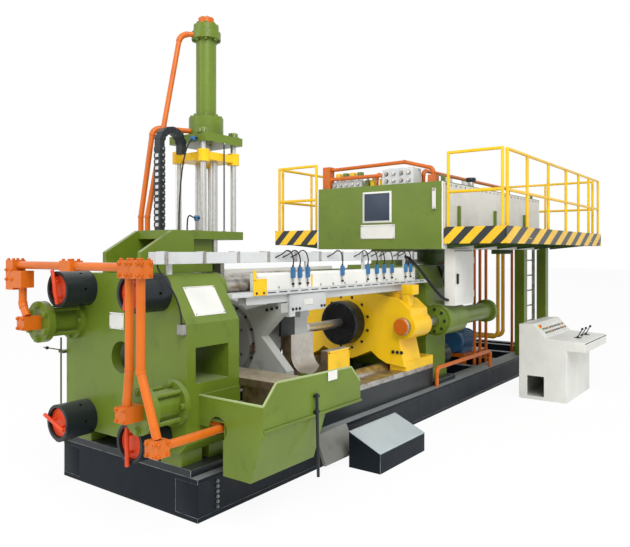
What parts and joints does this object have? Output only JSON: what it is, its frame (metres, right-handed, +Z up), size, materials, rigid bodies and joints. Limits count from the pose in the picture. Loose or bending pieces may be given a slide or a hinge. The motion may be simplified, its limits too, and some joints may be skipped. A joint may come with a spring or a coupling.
{
  "type": "aluminum extrusion press",
  "caption": "Horizontal hydraulic extrusion press with tie rods, container, ram, die shear, overhead oil tank with railed platform, and operator console.",
  "frame": {"origin": "floor level under the die face of the front platen, on the press centre line", "axes": "+X along the press from the die to the ram and tank, +Z up, the console stands on the -Y side"},
  "size_m": [9.752, 4.272, 4.48],
  "materials": {
    "black_rubber": "matt",
    "black_paint": "satin",
    "green_paint": "gloss enamel",
    "dark_green_paint": "gloss enamel",
    "yellow_paint": "gloss enamel",
    "mustard_paint": "gloss enamel",
    "orange_paint": "gloss enamel",
    "white_paint": "satin",
    "grey_paint": "satin",
    "blue_paint": "gloss",
    "machined_steel": "machined",
    "chrome": "polished",
    "tool_steel": "oxidised"
  },
  "bodies": {
    "root": {"cable_leads": "black_rubber", "base_frame": "black_paint", "bed_beams": "black_paint", "tie_rod_nuts": "black_paint", "drag_chain": "black_paint", "step_box": "black_paint", "front_platen": "green_paint", "container_cylinders": "green_paint", "shear_housing": "green_paint", "shear_top_plate": "green_paint", "shear_cylinder": "green_paint", "die_tray": "green_paint", "cylinder_platen": "green_paint", "main_cylinder": "green_paint", "side_cylinders": "green_paint", "tank_front": "green_paint", "tank_top": "green_paint", "tank_ribs": "green_paint", "support_columns": "green_paint", "prefill_housing": "dark_green_paint", "platform_deck": "dark_green_paint", "toe_boards": "yellow_paint", "railings": "yellow_paint", "suction_pipes": "mustard_paint", "front_pipework": "orange_paint", "shear_pipes": "orange_paint", "tank_pipes": "orange_paint", "drop_pipes": "orange_paint", "pump_frame": "orange_paint", "beam_covers": "white_paint", "oil_tank": "white_paint", "electrical_cabinet": "white_paint", "console": "white_paint", "overhead_beams": "grey_paint", "cable_tray": "grey_paint", "loader_carriage": "grey_paint", "tank_valves": "grey_paint", "chute": "grey_paint", "limit_switches": "blue_paint", "pump_motors": "blue_paint", "guide_rails": "machined_steel", "tie_rods": "machined_steel", "loader_trough": "machined_steel", "ladder": "machined_steel", "shear_columns": "chrome", "die_slide": "tool_steel"},
    "ram": {"crosshead": "yellow_paint", "stem_holder": "black_paint", "stem": "chrome", "main_ram": "chrome", "side_rods": "chrome", "side_rod_ends": "orange_paint"},
    "container": {"container_drum": "grey_paint", "container_carriage": "grey_paint", "container_rods": "chrome"},
    "shear": {"shear_crosshead": "yellow_paint", "shear_rods": "chrome", "shear_blade": "machined_steel"},
    "door": {"cabinet_door": "white_paint"},
    "lever": {"console_lever": "black_paint"}
  },
  "joints": [
    {"name": "ram_slide", "type": "slide", "parent": "root", "child": "ram", "axis": [-1, 0, 0], "range_m": [0, 1.3]},
    {"name": "container_slide", "type": "slide", "parent": "root", "child": "container", "axis": [-1, 0, 0], "range_m": [0, 0.29]},
    {"name": "shear_slide", "type": "slide", "parent": "root", "child": "shear", "axis": [0, 0, 1], "range_m": [-0.6, 0]},
    {"name": "cabinet_hinge", "type": "hinge", "parent": "root", "child": "door", "pos_m": [4.508, -1.1005, 1.8], "axis": [0, 0, 1], "range_deg": [0, 110]},
    {"name": "lever_pivot", "type": "hinge", "parent": "root", "child": "lever", "pos_m": [6.01, -2.18, 0.9037], "axis": [1, 0, 0], "range_deg": [-20, 25]}
  ]
}
